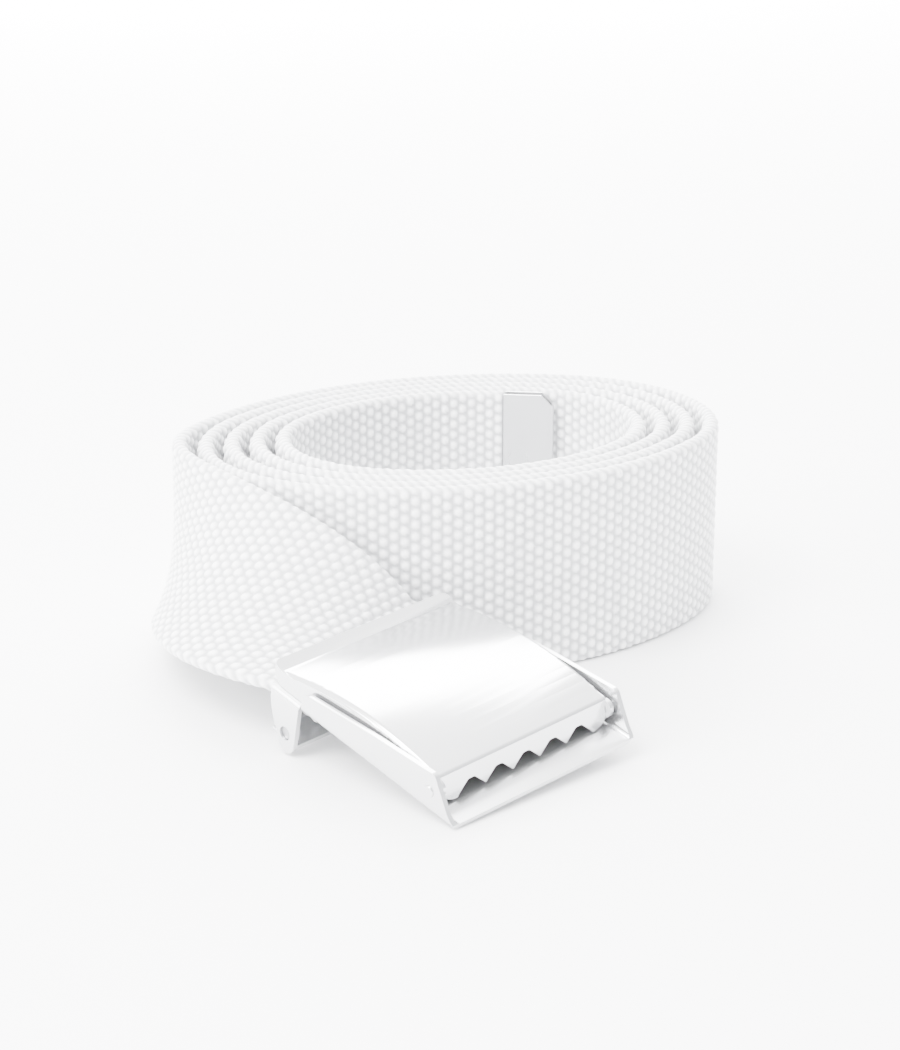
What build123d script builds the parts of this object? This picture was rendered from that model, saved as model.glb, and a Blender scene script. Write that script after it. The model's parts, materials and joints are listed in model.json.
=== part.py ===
from build123d import *
import math
import os

# Rolled web belt with a flip-top cam buckle, standing on the edge of its coil.
# Millimetres, +Z up. The coil is worked out about its own plan centre on the
# resting surface, and everything is moved at the end so that the origin is at
# the bottom centre of the whole part.

# --- Strap -------------------------------------------------------------------
STRAP_WIDTH = 38.0
STRAP_THICKNESS = 3.0

# --- Coil: a clockwise oval spiral of long side arcs and tight end arcs --------
COIL_START = (-48.5, 6.0)
COIL_HEADING = 60.0
SIDE_RADIUS = 71.35
SIDE_RADIUS_STEP = 3.70
SIDE_ARC = 70.0
END_RADIUS = 33.25
END_RADIUS_STEP = 1.20
END_ARC = 110.0
HALF_TURNS = 8
LAST_SIDE_ARC = 67.0

# --- Metal tip folded over the free end ----------------------------------------
TIP_LENGTH = 10.6
TIP_SHEET = 0.45
TIP_TONGUE = 2.2
TIP_HEIGHT = 37.2
TIP_CORNER = 2.6

# --- Tail: the stretch that twists from the upright coil down to the buckle -----
TAIL_HEADING = (-0.5, -0.8660254, 0.0)
TAIL_UPPER_LEAVE = 18.9
TAIL_UPPER_OUT = (-61.3, -30.9, 39.0)
TAIL_UPPER_OVER = (-19.9, -63.2, 49.2)
TAIL_UPPER_ARRIVE = 9.3
TAIL_LOWER_LEAVE = 16.2
TAIL_LOWER_OUT = (-48.0, -2.2, 3.2)
TAIL_LOWER_OVER = (-81.6, -49.5, 10.5)
TAIL_LOWER_ARRIVE = 2.3
TAIL_SECTIONS = 21

# --- Where the buckle lies: its own x runs forward, y to its side, z up ----------
BUCKLE_ORIGIN = (16.1, -94.6, 1.45)
BUCKLE_YAW = -45.0
BUCKLE_NOSE_DOWN = 15.0
BUCKLE_ROLL = 3.7

# --- Buckle base: a sheet channel with a strap plate and two ears behind it -------
BASE_SHEET = 0.9
BASE_HALF_WIDTH = 22.2
BASE_BEND = 1.8
CHEEK_TOP = 8.0
CHEEK_REAR = -38.0
CHEEK_REAR_TOP = 4.6
CHEEK_FRONT_TOP = -5.5
CHEEK_FRONT_EDGE = ((-1.5, 2.4), (-3.4, 5.0))
CHEEK_TOP_EDGE = ((-8.4, 7.7), (-21.0, 6.6), (-35.2, 4.9))
CHEEK_FRONT_CORNER = 1.3
CHEEK_REAR_CORNER = 2.2
PLATE_REAR = -46.8
PLATE_HALF_WIDTH = 21.3
EAR_FRONT = -39.4
EAR_BEND = 1.6
EAR_BOTTOM = -10.6
EAR_TIP_RADIUS = 1.9
EAR_REAR_MIDDLE = (-45.6, -5.0)

# --- Flip cover -------------------------------------------------------------------
COVER_SHEET = 0.8
COVER_HALF_WIDTH = 20.7
COVER_FRONT = (-6.2, 6.35)
COVER_CROWN = (-25.0, 7.6)
COVER_REAR = (-45.2, 4.1)
COVER_LIP_END = (-47.6, 4.9)
COVER_FOLD = 1.0
COVER_BEND = 1.0
COVER_INNER_FOLD = 0.3
TOOTH_TIP = (-4.8, 1.35)
TOOTH_COUNT = 6
TOOTH_PITCH = 6.5
TOOTH_DEPTH = 2.3
TOOTH_FLANK_RISE = 0.25
GAP_CROWN_HALF = 0.75
GAP_CROWN_RADIUS = 0.7
LIP_CORNER = 4.0
THUMB_CORNER = 1.4
SKIRT_BOTTOM = 1.05
SKIRT_FRONT = -8.5
SKIRT_REAR = -43.9
SKIRT_HEEL = (-46.1, 1.9)
SKIRT_TAIL = (-47.0, 4.0)

# --- Cover hinge -------------------------------------------------------------------
HINGE_AT = (-6.2, 4.2)
HINGE_RADIUS = 0.85
HINGE_HEAD_RADIUS = 1.1
HINGE_HEAD_RISE = 0.3
HINGE_EYE_RADIUS = 1.75
RUNNING_CLEARANCE = 0.05

# --- Strap clamp under the plate -----------------------------------------------------
STRAP_GAP = 0.3
FIXED_END_FRONT = -37.5
FIXED_END_REAR = -47.5
JAW_AT = (-42.0, -7.0)
JAW_SHEET = 0.8
JAW_PLATE = (-9.3, -8.5)
JAW_FRONT = -39.5
JAW_REAR = -46.3
JAW_HALF_WIDTH = 20.25
JAW_TOOTH_TOP = -3.4
JAW_TOOTH_COUNT = 9
JAW_TOOTH_DEPTH = 1.2
JAW_FLANGE_MARGIN = 0.5
JAW_TAB_RADIUS = 1.9
JAW_PIN_RADIUS = 1.22
EAR_HOLE_RADIUS = 1.3
JAW_PIN_HEAD_RADIUS = 1.45
JAW_PIN_HEAD = 0.55
JAW_PIN_RECESS = 0.45


def unit(x, y, z):
    """Direction of length one."""
    return Vector(x, y, z).normalized()


def buckle_plane():
    """Place of the buckle: yaw about Z, nose down, then rolled about its own length."""
    yaw = math.radians(BUCKLE_YAW)
    nose = math.radians(BUCKLE_NOSE_DOWN)
    roll = math.radians(BUCKLE_ROLL)
    forward = unit(math.cos(yaw) * math.cos(nose), math.sin(yaw) * math.cos(nose), -math.sin(nose))
    level_side = unit(-math.sin(yaw), math.cos(yaw), 0)
    level_up = forward.cross(level_side)
    up = level_up * math.cos(roll) - level_side * math.sin(roll)
    return Plane(origin=BUCKLE_ORIGIN, x_dir=forward, z_dir=up)


BUCKLE = buckle_plane()


def in_coil(x, y, z):
    """Point of the buckle's own frame, given in the coil's frame."""
    return BUCKLE.from_local_coords(Vector(x, y, z))


def extrude_across(face, low, high):
    """Solid of an X-Z outline between two places across the buckle."""
    return Pos(0, high, 0) * extrude(face, high - low)


def outline(*edges):
    """Face of a closed X-Z outline."""
    return Plane.XZ * make_face(Curve() + list(edges))


def disc_across(at, radius, low, high):
    """Cylinder along the buckle's width, at an X-Z place."""
    return extrude_across(Plane.XZ * Pos(at[0], at[1]) * Circle(radius), low, high)


def block(x, y, z):
    """Box between pairs of limits."""
    size = [span[1] - span[0] for span in (x, y, z)]
    middle = [(span[0] + span[1]) / 2 for span in (x, y, z)]
    return Pos(*middle) * Box(*size)


# ------------------------------------------------------------------------- coil
def coil_arcs():
    """Radius and turn of each arc of the coil's centre line, from the outside in."""
    arcs = []
    for half_turn in range(HALF_TURNS):
        arcs.append((SIDE_RADIUS - SIDE_RADIUS_STEP * half_turn, SIDE_ARC))
        arcs.append((END_RADIUS - END_RADIUS_STEP * half_turn, END_ARC))
    arcs.append((SIDE_RADIUS - SIDE_RADIUS_STEP * HALF_TURNS, LAST_SIDE_ARC))
    return arcs


def heading(degrees):
    """Level direction at an angle from X."""
    return Vector(math.cos(math.radians(degrees)), math.sin(math.radians(degrees)), 0)


def left_of(degrees):
    """Level direction square to a heading, on its left."""
    return heading(degrees + 90)


def coil_side(offset):
    """The chain of arcs that runs beside the centre line, offset to its left."""
    angle = COIL_HEADING
    point = Vector(*COIL_START, 0) + left_of(angle) * offset
    edges = []
    for radius, turn in coil_arcs():
        edge = JernArc(point, heading(angle), radius + offset, -turn)
        edges.append(edge)
        point = edge @ 1
        angle -= turn
    return edges, point, angle


def build_coil():
    """Strap standing on edge: the space between two offset chains, with a thin tongue."""
    outer, outer_end, angle = coil_side(STRAP_THICKNESS / 2)
    inner, inner_end, _ = coil_side(-STRAP_THICKNESS / 2)
    start_cap = Line(inner[0] @ 0, outer[0] @ 0)
    end_cap = Line(outer_end, inner_end)
    coil = extrude(make_face(Curve() + [start_cap, *outer, end_cap, *inner]), STRAP_WIDTH)
    mouth = (outer_end + inner_end) / 2
    tip_plane = Plane(origin=mouth, x_dir=heading(angle), z_dir=(0, 0, 1))
    half = TIP_TONGUE / 2
    low = (STRAP_WIDTH - TIP_HEIGHT) / 2
    reach = TIP_LENGTH - TIP_SHEET
    tongue = block((-STRAP_THICKNESS, reach), (-half, half), (low, low + TIP_HEIGHT))
    corners = tongue.edges().filter_by(Axis.Y).group_by(Axis.X)[-1]
    tongue = chamfer(corners, TIP_CORNER - TIP_SHEET)
    return coil + tip_plane * tongue, tip_plane


def build_tip_cap():
    """Sheet folded round the strap's end, open at its mouth, with cut corners."""
    half = TIP_TONGUE / 2
    low = (STRAP_WIDTH - TIP_HEIGHT) / 2
    tall = (low, low + TIP_HEIGHT)
    cap = block((0, TIP_LENGTH), (-half - TIP_SHEET, half + TIP_SHEET), tall)
    cap = chamfer(cap.edges().filter_by(Axis.Y).group_by(Axis.X)[-1], TIP_CORNER)
    fold = cap.edges().filter_by(Axis.Z).group_by(Axis.X)[-1]
    cap = fillet(fold, half)
    pocket = block((-1, TIP_LENGTH - TIP_SHEET), (-half, half), (low - 1, low + TIP_HEIGHT + 1))
    tongue = block((-1, TIP_LENGTH - TIP_SHEET), (-half, half), tall)
    tongue = chamfer(tongue.edges().filter_by(Axis.Y).group_by(Axis.X)[-1], TIP_CORNER - TIP_SHEET)
    return cap - (pocket & tongue)


# ------------------------------------------------------------------------- tail
def selvages():
    """Control points of the tail's two edges, each a Bezier curve of the fifth degree."""
    start = Vector(*COIL_START, 0)
    top = start + Vector(0, 0, STRAP_WIDTH)
    leave = Vector(*TAIL_HEADING)
    centre_z = -STRAP_GAP - STRAP_THICKNESS / 2
    half = STRAP_WIDTH / 2
    upper_end = in_coil(FIXED_END_REAR, half, centre_z)
    lower_end = in_coil(FIXED_END_REAR, -half, centre_z)
    back = BUCKLE.x_dir * -1
    upper = [
        top,
        top + leave * TAIL_UPPER_LEAVE,
        Vector(*TAIL_UPPER_OUT),
        Vector(*TAIL_UPPER_OVER),
        upper_end + back * TAIL_UPPER_ARRIVE,
        upper_end,
    ]
    lower = [
        start,
        start + leave * TAIL_LOWER_LEAVE,
        Vector(*TAIL_LOWER_OUT),
        Vector(*TAIL_LOWER_OVER),
        lower_end + back * TAIL_LOWER_ARRIVE,
        lower_end,
    ]
    return upper, lower


def on_bezier(controls, share):
    """Point of a Bezier curve at a share of its parameter."""
    degree = len(controls) - 1
    point = Vector(0, 0, 0)
    for index, control in enumerate(controls):
        weight = math.comb(degree, index) * share ** index * (1 - share) ** (degree - index)
        point += control * weight
    return point


def tail_middle(upper, lower, share):
    """Point midway between the two edges, at a share of their parameter."""
    return (on_bezier(upper, share) + on_bezier(lower, share)) / 2


def build_tail():
    """Ribbon of constant section, lofted through rectangles between the two edges."""
    upper, lower = selvages()
    sections = []
    step = 0.0001
    for index in range(TAIL_SECTIONS):
        share = index / (TAIL_SECTIONS - 1)
        across = (on_bezier(upper, share) - on_bezier(lower, share)).normalized()
        before = tail_middle(upper, lower, max(share - step, 0))
        after = tail_middle(upper, lower, min(share + step, 1))
        along = after - before
        along = (along - across * along.dot(across)).normalized()
        middle = tail_middle(upper, lower, share)
        place = Plane(origin=middle, x_dir=across, z_dir=along)
        sections.append(place * Rectangle(STRAP_WIDTH, STRAP_THICKNESS))
    return loft(sections)


def build_fixed_end():
    """Last stretch of strap, flat under the buckle's strap plate."""
    top = -STRAP_GAP
    return block(
        (FIXED_END_REAR, FIXED_END_FRONT),
        (-STRAP_WIDTH / 2, STRAP_WIDTH / 2),
        (top - STRAP_THICKNESS, top),
    )


# ------------------------------------------------------------------------- base
def bent_channel(half_width, sheet, bend, length, height):
    """Section of a sheet channel that opens upwards, extruded along X."""
    outside = Pos(0, height / 2) * Rectangle(2 * half_width, height)
    outside = fillet(outside.vertices().group_by(Axis.Y)[0], bend)
    wide = half_width - sheet
    inside = Pos(0, sheet + height / 2) * Rectangle(2 * wide, height)
    inside = fillet(inside.vertices().group_by(Axis.Y)[0], bend - sheet)
    section = Plane.YZ * (outside - inside)
    return Pos(length[0], 0, 0) * extrude(section, length[1] - length[0])


def cheek_outline():
    """Side view of the cheeks, with the floor below them."""
    front_corner = (CHEEK_FRONT_TOP, CHEEK_TOP)
    rear_corner = (CHEEK_REAR, CHEEK_REAR_TOP)
    face = make_face(Polyline(
        (0, 0),
        (0, BASE_SHEET),
        *CHEEK_FRONT_EDGE,
        front_corner,
        *CHEEK_TOP_EDGE,
        rear_corner,
        (CHEEK_REAR, 0),
        close=True,
    ))
    front_vertex = face.vertices().sort_by_distance(Vector(*front_corner))[0]
    face = fillet(front_vertex, CHEEK_FRONT_CORNER)
    rear_vertex = face.vertices().sort_by_distance(Vector(*rear_corner))[0]
    return Plane.XZ * fillet(rear_vertex, CHEEK_REAR_CORNER)


def ear_outline():
    """Side view of an ear, tapering to a rounded foot."""
    foot_z = EAR_BOTTOM + EAR_TIP_RADIUS
    foot_x = EAR_FRONT - EAR_TIP_RADIUS
    rear_x = foot_x - EAR_TIP_RADIUS
    return outline(
        Line((PLATE_REAR, BASE_SHEET), (EAR_FRONT, BASE_SHEET)),
        Line((EAR_FRONT, BASE_SHEET), (EAR_FRONT, foot_z)),
        ThreePointArc((EAR_FRONT, foot_z), (foot_x, EAR_BOTTOM), (rear_x, foot_z)),
        ThreePointArc((rear_x, foot_z), EAR_REAR_MIDDLE, (PLATE_REAR, BASE_SHEET)),
    )


def build_base():
    """Channel with cheeks, strap plate and ears, bent from one sheet."""
    channel = bent_channel(BASE_HALF_WIDTH, BASE_SHEET, BASE_BEND, (CHEEK_REAR, 0), CHEEK_TOP)
    channel = channel & extrude_across(cheek_outline(), -BASE_HALF_WIDTH, BASE_HALF_WIDTH)
    plate_side = PLATE_HALF_WIDTH - EAR_BEND
    plate = block((PLATE_REAR, CHEEK_REAR), (-plate_side, plate_side), (0, BASE_SHEET))
    depth = BASE_SHEET - EAR_BOTTOM
    ears = bent_channel(PLATE_HALF_WIDTH, BASE_SHEET, EAR_BEND, (-EAR_FRONT, -PLATE_REAR), depth)
    ears = Pos(0, 0, BASE_SHEET) * Rot(0, 180, 0) * ears
    ears = ears & extrude_across(ear_outline(), -PLATE_HALF_WIDTH, PLATE_HALF_WIDTH)
    base = channel + plate + ears
    base -= disc_across(HINGE_AT, HINGE_RADIUS, -BASE_HALF_WIDTH - 1, BASE_HALF_WIDTH + 1)
    base -= disc_across(JAW_AT, EAR_HOLE_RADIUS, -PLATE_HALF_WIDTH - 1, PLATE_HALF_WIDTH + 1)
    return base


# ------------------------------------------------------------------------ cover
def cover_sheet_inner():
    """Outline of the space behind the front lip and under the crown's sheet."""
    centre = arc_centre(COVER_REAR, COVER_CROWN, COVER_FRONT)
    radius = math.dist(centre, COVER_CROWN) - COVER_SHEET
    tip_in = square_offset(COVER_FRONT, TOOTH_TIP)
    fold_in = cross_with_circle(tip_in, COVER_FRONT, TOOTH_TIP, centre, radius)
    below = cross_with_level(tip_in, fold_in, 0)
    rear_in = on_circle(COVER_REAR, centre, radius)
    top_in = on_circle(COVER_CROWN, centre, radius)
    behind = COVER_LIP_END[0] - COVER_SHEET
    face = make_face(Curve() + [
        Line(below, fold_in),
        ThreePointArc(fold_in, top_in, rear_in),
        Line(rear_in, (behind, rear_in[1])),
        Line((behind, rear_in[1]), (behind, 0)),
        Line((behind, 0), below),
    ])
    inner_fold = face.vertices().sort_by_distance(Vector(*fold_in))[0]
    return fillet(inner_fold, COVER_INNER_FOLD)


def thumb_lip_face():
    """Side view of the strip that flares up behind the crown."""
    inner_end = offset_end(COVER_REAR, COVER_LIP_END)
    centre = arc_centre(COVER_REAR, COVER_CROWN, COVER_FRONT)
    radius = math.dist(centre, COVER_CROWN) - COVER_SHEET
    rear_in = on_circle(COVER_REAR, centre, radius)
    return Plane.XZ * make_face(Polyline(COVER_LIP_END, COVER_REAR, rear_in, inner_end, close=True))


def cross_with_level(first, second, level):
    """Where the line through two points reaches a height."""
    share = (level - first[1]) / (second[1] - first[1])
    return (first[0] + share * (second[0] - first[0]), level)


def arc_centre(first, middle, last):
    """Centre of the circle through three points."""
    arc = ThreePointArc(first, middle, last)
    return (arc.arc_center.X, arc.arc_center.Y)


def on_circle(point, centre, radius):
    """The point's place on a circle of another radius about the same centre."""
    gap = math.dist(point, centre)
    return tuple(c + (p - c) * radius / gap for p, c in zip(point, centre))


def square_offset(top, tip):
    """End of the front lip's rear face: one sheet thickness behind its front face."""
    length = math.dist(top, tip)
    across = ((tip[1] - top[1]) / length, -(tip[0] - top[0]) / length)
    return (tip[0] + across[0] * COVER_SHEET, tip[1] + across[1] * COVER_SHEET)


def offset_end(root, end):
    """End of the rear lip's underside: one sheet thickness below its outer face."""
    length = math.dist(root, end)
    down = ((end[1] - root[1]) / length, -(end[0] - root[0]) / length)
    return (end[0] - down[0] * COVER_SHEET, end[1] - down[1] * COVER_SHEET)


def cross_with_circle(point, top, tip, centre, radius):
    """Where the line through a point, along the front lip, meets a circle above it."""
    length = math.dist(top, tip)
    along = ((top[0] - tip[0]) / length, (top[1] - tip[1]) / length)
    gap = (point[0] - centre[0], point[1] - centre[1])
    half_b = gap[0] * along[0] + gap[1] * along[1]
    reach = -half_b + math.sqrt(half_b ** 2 - gap[0] ** 2 - gap[1] ** 2 + radius ** 2)
    return (point[0] + along[0] * reach, point[1] + along[1] * reach)


def skirt_face():
    """Side view of the closed lid: crown, fold, front lip and skirts."""
    face = make_face(Curve() + [
        ThreePointArc(COVER_REAR, COVER_CROWN, COVER_FRONT),
        Line(COVER_FRONT, TOOTH_TIP),
        Line(TOOTH_TIP, (SKIRT_FRONT, SKIRT_BOTTOM)),
        Line((SKIRT_FRONT, SKIRT_BOTTOM), (SKIRT_REAR, SKIRT_BOTTOM)),
        ThreePointArc((SKIRT_REAR, SKIRT_BOTTOM), SKIRT_HEEL, SKIRT_TAIL),
        Line(SKIRT_TAIL, COVER_REAR),
    ])
    fold = face.vertices().sort_by_distance(Vector(*COVER_FRONT))[0]
    return Plane.XZ * fillet(fold, COVER_FOLD)


def lip_corner(side):
    """Space beyond the rounded lower corner of the front lip, at one side."""
    start = COVER_HALF_WIDTH - LIP_CORNER
    low = TOOTH_TIP[1]
    beyond = COVER_HALF_WIDTH + 1
    middle = LIP_CORNER * math.sqrt(0.5)
    face = make_face(Curve() + [
        ThreePointArc(
            (side * start, low),
            (side * (start + middle), low + LIP_CORNER - middle),
            (side * COVER_HALF_WIDTH, low + LIP_CORNER),
        ),
        Line((side * COVER_HALF_WIDTH, low + LIP_CORNER), (side * beyond, low + LIP_CORNER)),
        Line((side * beyond, low + LIP_CORNER), (side * beyond, 0)),
        Line((side * beyond, 0), (side * start, 0)),
        Line((side * start, 0), (side * start, low)),
    ])
    return Pos(SKIRT_FRONT, 0, 0) * extrude(Plane.YZ * face, -SKIRT_FRONT, dir=(1, 0, 0))


def tooth_gap(at):
    """Arch between two teeth: a pointed wedge with a rounded crown."""
    half = TOOTH_PITCH / 2
    top = TOOTH_TIP[1] + TOOTH_DEPTH
    flank = TOOTH_TIP[1] + TOOTH_FLANK_RISE
    wedge = make_face(Polyline(
        (at - half, 0),
        (at - half, flank),
        (at - GAP_CROWN_HALF, top),
        (at + GAP_CROWN_HALF, top),
        (at + half, flank),
        (at + half, 0),
        close=True,
    ))
    crown = wedge.vertices().group_by(Axis.Y)[-1]
    wedge = fillet(crown, GAP_CROWN_RADIUS)
    reach = COVER_FRONT[0] - SKIRT_FRONT
    return extrude(Plane.YZ * wedge, reach, both=True)


def build_cover():
    """Crowned lid with skirts, a flared thumb lip and a toothed front lip."""
    half = COVER_HALF_WIDTH
    cover = extrude_across(skirt_face(), -half, half)
    long_edges = [edge for edge in cover.edges() if on_top_side(edge)]
    cover = fillet(long_edges, COVER_BEND)
    cover -= extrude_across(Plane.XZ * cover_sheet_inner(), -half + COVER_SHEET, half - COVER_SHEET)
    cover += extrude_across(thumb_lip_face(), -half, half)
    for index in range(TOOTH_COUNT - 1):
        place = (index - (TOOTH_COUNT - 2) / 2) * TOOTH_PITCH
        cover -= Pos(TOOTH_TIP[0], 0, 0) * tooth_gap(place)
    for side in (-1, 1):
        skirt = sorted((side * (half - COVER_SHEET), side * half))
        cover -= lip_corner(side)
        cover += disc_across(HINGE_AT, HINGE_EYE_RADIUS, *skirt)
        cover -= disc_across(HINGE_AT, HINGE_RADIUS + RUNNING_CLEARANCE, *skirt)
    free_corners = [edge for edge in cover.edges() if at_thumb_corner(edge)]
    return fillet(free_corners, THUMB_CORNER)


def on_top_side(edge):
    """Whether an edge is the crown's long outer edge on either side."""
    centre = edge.center()
    return edge.length > 30 and abs(centre.Y) > COVER_HALF_WIDTH - 0.1 and centre.Z > COVER_REAR[1]


def at_thumb_corner(edge):
    """Whether an edge is the short one at either free corner of the thumb lip."""
    centre = edge.center()
    behind = centre.X < COVER_LIP_END[0]
    return behind and abs(centre.Y) > COVER_HALF_WIDTH - 0.1 and edge.length < 2 * COVER_SHEET


def build_hinge_stub(side):
    """Headed stub fixed in a cheek; the cover's skirt turns on its inner end."""
    inner = COVER_HALF_WIDTH - COVER_SHEET + RUNNING_CLEARANCE
    stub = disc_across(HINGE_AT, HINGE_RADIUS, inner, BASE_HALF_WIDTH)
    top = BASE_HALF_WIDTH + HINGE_HEAD_RISE
    head = disc_across(HINGE_AT, HINGE_HEAD_RADIUS, BASE_HALF_WIDTH, top)
    head = fillet(head.edges().group_by(Axis.Y)[-1], HINGE_HEAD_RISE * 0.9)
    stub = stub + head
    return stub if side > 0 else mirror(stub, Plane.XZ)


# -------------------------------------------------------------------------- jaw
def build_jaw():
    """Clamp jaw: a plate with two pivot tabs and a toothed rear flange."""
    half = JAW_HALF_WIDTH
    low, high = JAW_PLATE
    jaw = block((JAW_REAR, JAW_FRONT), (-half, half), (low, high))
    flange_half = STRAP_WIDTH / 2 - JAW_FLANGE_MARGIN
    flange_z = (low, JAW_TOOTH_TOP)
    jaw += block((JAW_REAR, JAW_REAR + JAW_SHEET), (-flange_half, flange_half), flange_z)
    pitch = 2 * flange_half / JAW_TOOTH_COUNT
    for index in range(JAW_TOOTH_COUNT + 1):
        place = -flange_half + index * pitch
        notch = make_face(Polyline(
            (place - pitch / 4, JAW_TOOTH_TOP),
            (place, JAW_TOOTH_TOP - JAW_TOOTH_DEPTH),
            (place + pitch / 4, JAW_TOOTH_TOP),
            close=True,
        ))
        jaw -= Pos(JAW_REAR, 0, 0) * extrude(Plane.YZ * notch, 2 * JAW_SHEET, both=True)
    tab = outline(
        Line((JAW_AT[0] - JAW_TAB_RADIUS, low), (JAW_AT[0] + JAW_TAB_RADIUS, low)),
        Line((JAW_AT[0] + JAW_TAB_RADIUS, low), (JAW_AT[0] + JAW_TAB_RADIUS, JAW_AT[1])),
        ThreePointArc(
            (JAW_AT[0] + JAW_TAB_RADIUS, JAW_AT[1]),
            (JAW_AT[0], JAW_AT[1] + JAW_TAB_RADIUS),
            (JAW_AT[0] - JAW_TAB_RADIUS, JAW_AT[1]),
        ),
        Line((JAW_AT[0] - JAW_TAB_RADIUS, JAW_AT[1]), (JAW_AT[0] - JAW_TAB_RADIUS, low)),
    )
    for span in ((-half, -half + JAW_SHEET), (half - JAW_SHEET, half)):
        jaw += extrude_across(tab, *span)
    return jaw - disc_across(JAW_AT, JAW_PIN_RADIUS, -half - 1, half + 1)


def build_jaw_pin(side):
    """Headed pin fixed in a jaw tab; it turns in the ear's hole."""
    inner = JAW_HALF_WIDTH - JAW_SHEET
    pin = disc_across(JAW_AT, JAW_PIN_RADIUS, inner, PLATE_HALF_WIDTH - JAW_PIN_RECESS)
    pin += disc_across(JAW_AT, JAW_PIN_HEAD_RADIUS, inner - JAW_PIN_HEAD, inner)
    return pin if side > 0 else mirror(pin, Plane.XZ)


# --------------------------------------------------------------------- assembly
def build_all():
    """Every piece in the coil's frame, by node name."""
    coil, tip_plane = build_coil()
    nodes = {
        "webbing_coil": coil,
        "webbing_tail": build_tail(),
        "webbing_fixed_end": BUCKLE * build_fixed_end(),
        "tip_cap": tip_plane * build_tip_cap(),
        "buckle_base": BUCKLE * build_base(),
        "flip_cover": BUCKLE * build_cover(),
        "left_hinge_stub": BUCKLE * build_hinge_stub(-1),
        "right_hinge_stub": BUCKLE * build_hinge_stub(1),
        "clamp_jaw": BUCKLE * build_jaw(),
        "left_jaw_pin": BUCKLE * build_jaw_pin(-1),
        "right_jaw_pin": BUCKLE * build_jaw_pin(1),
    }
    return nodes


def main():
    """Build, centre the whole part on the resting surface, and write each node."""
    os.makedirs("parts", exist_ok=True)
    nodes = build_all()
    box = Compound(children=[Compound(shape.solids()) for shape in nodes.values()]).bounding_box()
    shift = Vector(-(box.min.X + box.max.X) / 2, -(box.min.Y + box.max.Y) / 2, -box.min.Z)
    for name, shape in nodes.items():
        placed = Pos(*shift) * shape
        export_step(placed, f"parts/{name}.step")
    print("size", box.size, "shift", shift)
    for name, at, sense in (("cover_hinge", HINGE_AT, 1), ("jaw_hinge", JAW_AT, -1)):
        place = (in_coil(at[0], 0, at[1]) + shift) / 1000
        axis = BUCKLE.y_dir * sense
        print(name, "pos_m", [round(c, 6) for c in place], "axis", [round(c, 6) for c in axis])


main()
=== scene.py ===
"""Looks of a rolled cotton web belt with a flip-top cam buckle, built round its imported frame."""
import json
import logging
import math
from dataclasses import dataclass, field
from enum import Enum
from typing import Any

import bmesh
import bpy
import numpy as np
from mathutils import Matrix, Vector


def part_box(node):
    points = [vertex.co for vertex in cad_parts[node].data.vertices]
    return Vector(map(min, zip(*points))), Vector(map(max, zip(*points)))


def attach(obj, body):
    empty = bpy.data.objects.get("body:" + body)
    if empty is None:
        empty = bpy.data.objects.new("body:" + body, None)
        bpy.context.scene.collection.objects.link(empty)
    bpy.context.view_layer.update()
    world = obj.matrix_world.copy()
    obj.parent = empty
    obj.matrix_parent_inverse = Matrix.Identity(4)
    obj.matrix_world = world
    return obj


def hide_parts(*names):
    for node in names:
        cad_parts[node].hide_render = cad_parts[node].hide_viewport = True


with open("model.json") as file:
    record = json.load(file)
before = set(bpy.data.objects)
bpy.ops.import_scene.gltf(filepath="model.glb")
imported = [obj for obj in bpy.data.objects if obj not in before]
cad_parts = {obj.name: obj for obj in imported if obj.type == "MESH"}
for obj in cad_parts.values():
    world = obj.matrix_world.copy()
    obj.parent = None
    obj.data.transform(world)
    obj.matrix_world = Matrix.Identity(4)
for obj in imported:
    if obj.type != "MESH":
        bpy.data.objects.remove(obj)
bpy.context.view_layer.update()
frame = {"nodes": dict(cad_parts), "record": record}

MM = 0.001
LOG = logging.getLogger("belt")


# ------------------------------------------------------------------ small tools
def unit(rows: np.ndarray) -> np.ndarray:
    """Vectors of length one, along the last axis.

    Args:
        rows: an array whose last axis holds vectors.

    Returns:
        The same directions, each divided by its own length.
    """
    return rows / np.linalg.norm(rows, axis=-1, keepdims=True)


@dataclass(frozen=True)
class Patch:
    """Vertices and faces of one closed or open surface, ready to become a mesh.

    Attributes:
        points: one row of three per vertex, in metres.
        faces: corner indices of each face, all of them in one flat array.
        sizes: how many corners each face has.
    """

    points: np.ndarray
    faces: np.ndarray
    sizes: np.ndarray

    def joined(self, *others: "Patch") -> "Patch":
        """This patch and the others as one, with their indices moved on.

        Args:
            others: the patches to add.

        Returns:
            One patch of them all.
        """
        parts = (self, *others)
        counts = np.cumsum([0] + [len(part.points) for part in parts[:-1]])
        return Patch(
            np.concatenate([part.points for part in parts]),
            np.concatenate([part.faces + start for part, start in zip(parts, counts)]),
            np.concatenate([part.sizes for part in parts]),
        )

    def mesh_object(self, name: str) -> bpy.types.Object:
        """A linked, smooth-shaded object at the origin that holds this surface.

        Args:
            name: the piece's name.

        Returns:
            The new object.
        """
        mesh = bpy.data.meshes.new(name)
        mesh.vertices.add(len(self.points))
        mesh.vertices.foreach_set("co", self.points.astype(np.float32).ravel())
        mesh.loops.add(len(self.faces))
        mesh.loops.foreach_set("vertex_index", self.faces.astype(np.int32))
        mesh.polygons.add(len(self.sizes))
        starts = np.concatenate([[0], np.cumsum(self.sizes)[:-1]])
        mesh.polygons.foreach_set("loop_start", starts.astype(np.int32))
        mesh.polygons.foreach_set("use_smooth", np.ones(len(self.sizes), bool))
        mesh.update(calc_edges=True)
        mesh.validate()
        piece = bpy.data.objects.new(name, mesh)
        bpy.context.scene.collection.objects.link(piece)
        return piece


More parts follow.
